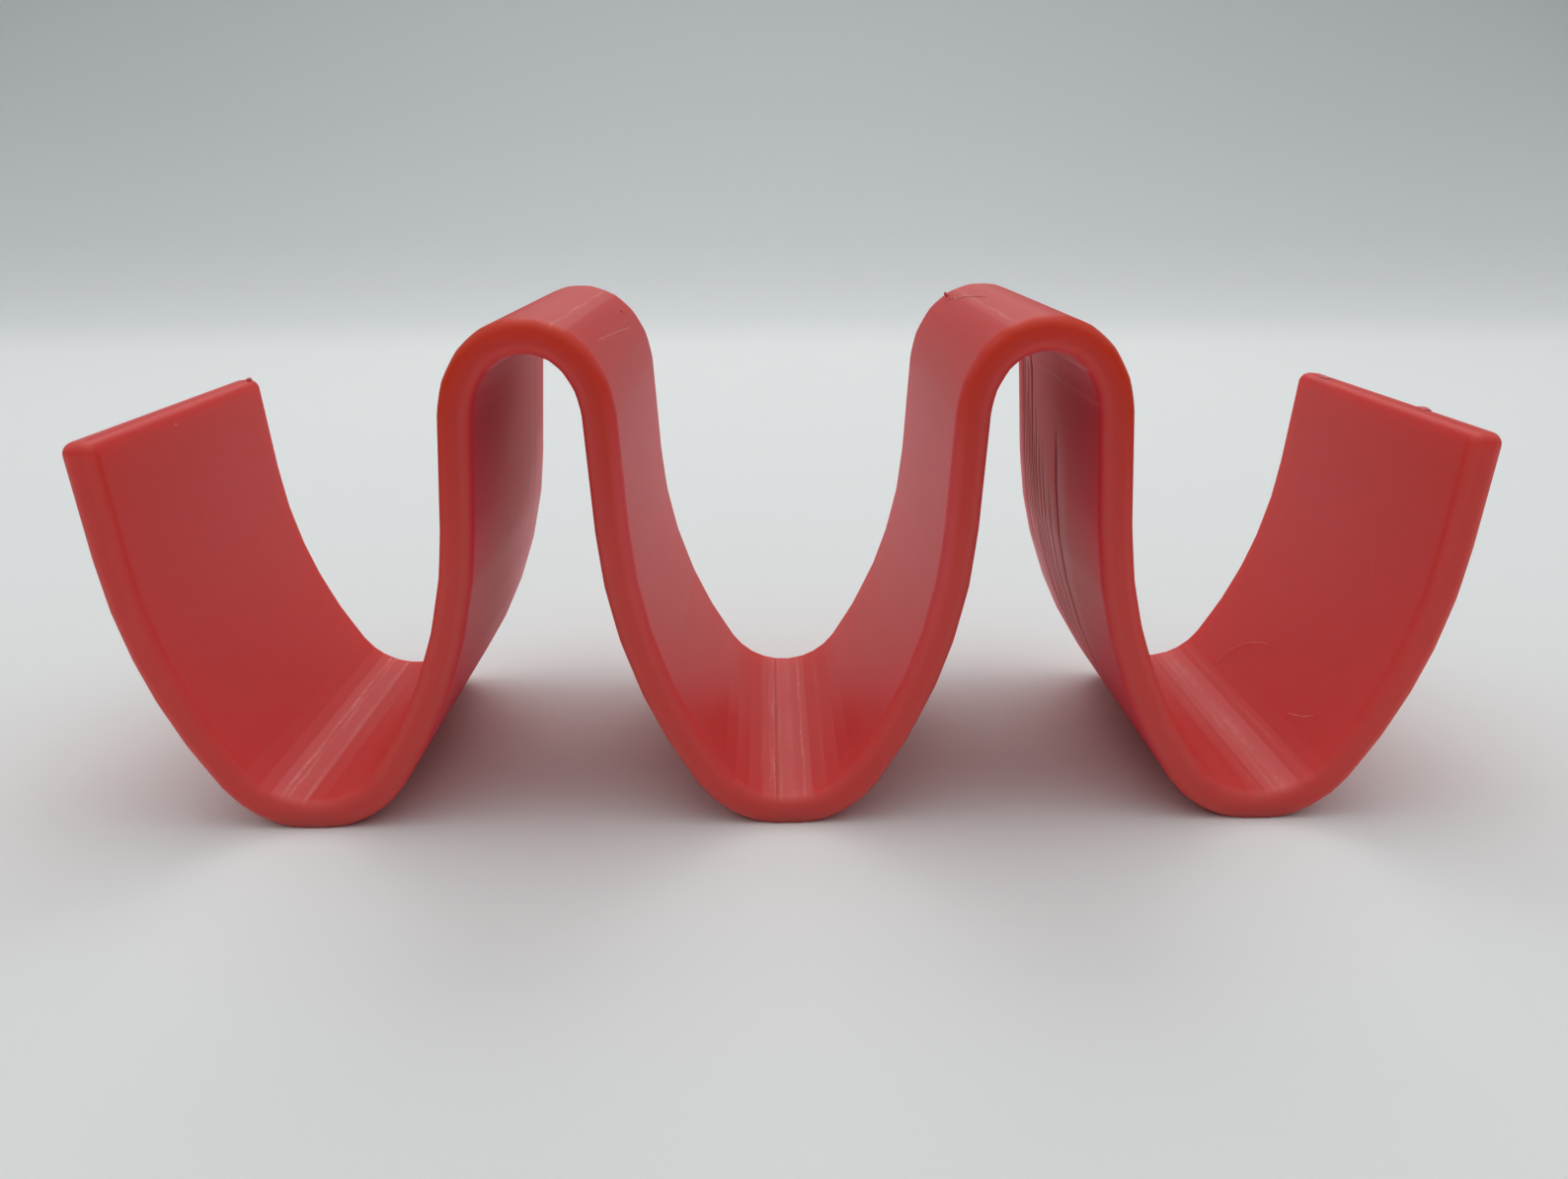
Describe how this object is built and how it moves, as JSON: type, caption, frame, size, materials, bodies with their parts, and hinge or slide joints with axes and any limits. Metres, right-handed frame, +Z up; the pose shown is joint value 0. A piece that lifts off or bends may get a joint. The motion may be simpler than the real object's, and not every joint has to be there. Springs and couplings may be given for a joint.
{
  "type": "taco holder",
  "caption": "Wave-shaped plastic holder that stands folded tacos upright in deep troughs between tall rounded crests, on flat feet.",
  "frame": {"origin": "centre of the plane that the feet stand on, under the middle trough", "axes": "+X along the wave from the left arm to the right arm, +Y from front to back, +Z up"},
  "size_m": [0.1958, 0.06, 0.074],
  "materials": {
    "red_plastic": "satin, printed in thin layers, edges softly rounded"
  },
  "bodies": {
    "root": {"taco_holder": "red_plastic"}
  },
  "joints": []
}
